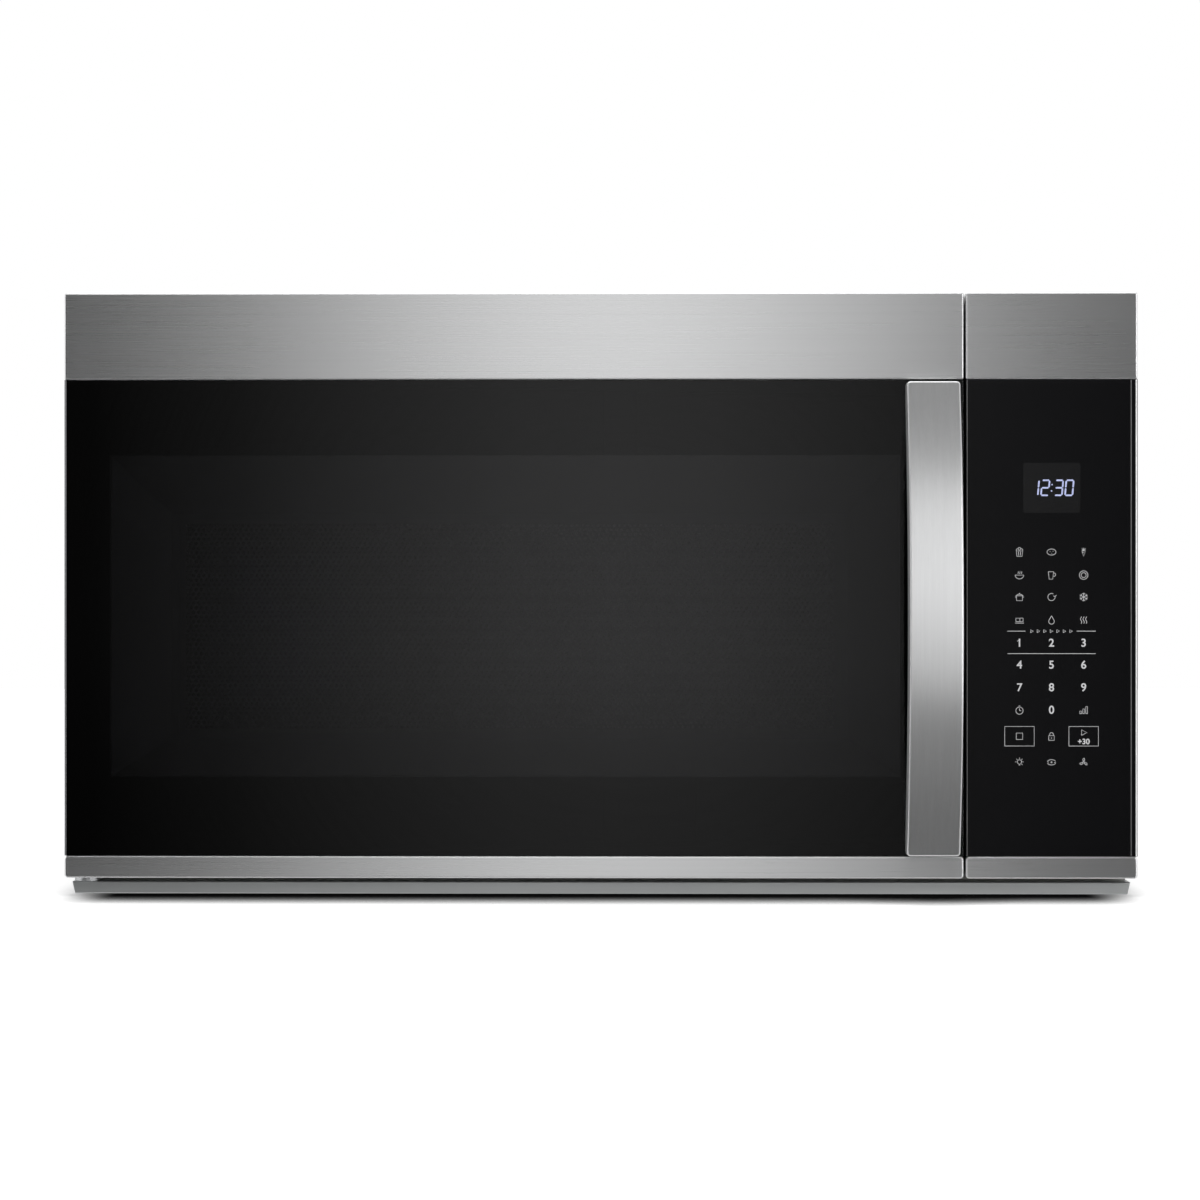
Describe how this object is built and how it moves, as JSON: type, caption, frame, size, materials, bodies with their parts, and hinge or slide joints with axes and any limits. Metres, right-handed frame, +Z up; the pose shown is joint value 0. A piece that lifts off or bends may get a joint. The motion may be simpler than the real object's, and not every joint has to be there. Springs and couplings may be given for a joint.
{
  "type": "over-the-range microwave oven",
  "caption": "Over-the-range microwave oven: side-hinged glass door with bowed steel handle, touch control panel, vent blower, grease filters and turntable.",
  "frame": {"origin": "on the wall plane, at the middle of the width, at the level of the flat base", "axes": "+X to the right as seen from the front, +Y from the door into the wall, +Z up"},
  "size_m": [0.76, 0.42, 0.4275],
  "materials": {
    "stainless_trim": "fine horizontal brush, satin",
    "stainless_handle": "fine lengthwise brush, satin",
    "tinted_glass": "polished, smoke tinted",
    "black_glass": "polished, printed black behind",
    "clear_glass": "pressed and polished",
    "black_plastic": "fine moulded grain",
    "black_gloss_plastic": "smooth moulded",
    "grey_plastic": "smooth moulded",
    "white_plastic": "smooth moulded",
    "case_paint": "fine textured powder coat",
    "rail_paint": "satin grey coat",
    "cavity_enamel": "speckled acrylic enamel",
    "screen_paint": "black coat over punched steel",
    "galvanised": "zinc coated sheet",
    "steel_zinc": "zinc plated",
    "copper_winding": "enamelled wire over laminated core",
    "aluminium_fins": "bright rolled sheet",
    "aluminium_mesh": "layered expanded mesh",
    "charcoal": "carbon granules in a net",
    "mica": "pressed mica sheet",
    "circuit_board": "solder mask",
    "lamp": "frosted bulb and holder"
  },
  "bodies": {
    "chassis": {"outer_case": "case_paint", "rear_panel": "galvanised", "base_pan": "rail_paint", "front_frame": "galvanised", "case_screws": "steel_zinc", "exhaust_cover": "galvanised", "top_bolt_bushes": "steel_zinc", "cord_gland": "black_plastic", "vent_grille": "black_plastic", "charcoal_filter": "charcoal", "cooktop_lamp_lenses": "clear_glass", "cooktop_lamps": "lamp", "oven_cavity": "cavity_enamel", "waveguide_cover": "mica", "turntable_motor": "galvanised", "component_shelf": "galvanised", "transformer": "copper_winding", "capacitor": "aluminium_fins", "waveguide": "galvanised", "magnetron": "aluminium_fins", "oven_lamp": "lamp", "thermal_cutouts": "steel_zinc", "fan_shroud": "grey_plastic", "filter_board": "circuit_board", "cooling_fan_motor": "galvanised", "vent_blower_housing": "galvanised", "vent_blower_motor": "galvanised", "hinge_upper": "steel_zinc", "hinge_lower": "steel_zinc", "interlock_bracket": "white_plastic", "door_switches": "black_plastic", "panel_glass": "black_glass", "panel_top_trim": "stainless_trim", "panel_bottom_trim": "stainless_trim", "panel_frame": "black_plastic", "display_module": "black_gloss_plastic", "control_board": "circuit_board"},
    "door": {"door_glass": "tinted_glass", "door_top_trim": "stainless_trim", "door_bottom_trim": "stainless_trim", "door_frame": "black_plastic", "door_inner_frame": "screen_paint", "window_screen": "screen_paint", "choke_cover": "black_gloss_plastic", "door_inner_glass": "clear_glass", "door_handle": "stainless_handle", "handle_screws": "steel_zinc", "latch_spring": "steel_zinc"},
    "latch": {"latch_hooks": "black_plastic"},
    "turntable": {"turntable_shaft": "steel_zinc", "turntable_coupler": "white_plastic", "glass_tray": "clear_glass"},
    "ring": {"roller_ring": "white_plastic"},
    "roller_a": {"roller_1": "white_plastic"},
    "roller_b": {"roller_2": "white_plastic"},
    "roller_c": {"roller_3": "white_plastic"},
    "blower": {"vent_blower_wheels": "galvanised"},
    "fan": {"cooling_fan_blade": "white_plastic"},
    "filter_left": {"grease_filter_left": "aluminium_mesh"},
    "filter_right": {"grease_filter_right": "aluminium_mesh"}
  },
  "joints": [
    {"name": "door_hinge", "type": "hinge", "parent": "chassis", "child": "door", "pos_m": [-0.368, -0.36, 0.2], "axis": [0, 0, -1], "range_deg": [0, 100]},
    {"name": "latch_lift", "type": "slide", "parent": "door", "child": "latch", "axis": [0, 0, 1], "range_m": [0, 0.0035], "stiffness_N_per_m": 900, "springref_m": -0.004, "deforming": ["latch_spring"]},
    {"name": "turntable_spin", "type": "hinge", "parent": "chassis", "child": "turntable", "pos_m": [-0.065, -0.1805, 0.07], "axis": [0, 0, 1], "continuous": true},
    {"name": "roller_ring_spin", "type": "hinge", "parent": "chassis", "child": "ring", "pos_m": [-0.065, -0.1805, 0.07], "axis": [0, 0, 1], "continuous": true},
    {"name": "roller_a_spin", "type": "hinge", "parent": "ring", "child": "roller_a", "pos_m": [-0.065, -0.0765, 0.0742], "axis": [0, 1, 0], "continuous": true},
    {"name": "roller_b_spin", "type": "hinge", "parent": "ring", "child": "roller_b", "pos_m": [-0.15507, -0.2325, 0.0742], "axis": [-0.866, -0.5, 0], "continuous": true},
    {"name": "roller_c_spin", "type": "hinge", "parent": "ring", "child": "roller_c", "pos_m": [0.02507, -0.2325, 0.0742], "axis": [0.866, -0.5, 0], "continuous": true},
    {"name": "blower_spin", "type": "hinge", "parent": "chassis", "child": "blower", "pos_m": [-0.065, -0.075, 0.3705], "axis": [1, 0, 0], "continuous": true},
    {"name": "cooling_fan_spin", "type": "hinge", "parent": "chassis", "child": "fan", "pos_m": [0.293, -0.05, 0.24], "axis": [0, 1, 0], "continuous": true},
    {"name": "filter_left_slide", "type": "slide", "parent": "chassis", "child": "filter_left", "axis": [-1, 0, 0], "range_m": [0, 0.012]},
    {"name": "filter_right_slide", "type": "slide", "parent": "chassis", "child": "filter_right", "axis": [1, 0, 0], "range_m": [0, 0.012]}
  ],
  "couplings": [
    {"joint": "roller_ring_spin", "follows": "turntable_spin", "ratio": 0.5},
    {"joint": "roller_a_spin", "follows": "turntable_spin", "ratio": -6.5},
    {"joint": "roller_b_spin", "follows": "turntable_spin", "ratio": -6.5},
    {"joint": "roller_c_spin", "follows": "turntable_spin", "ratio": -6.5}
  ]
}
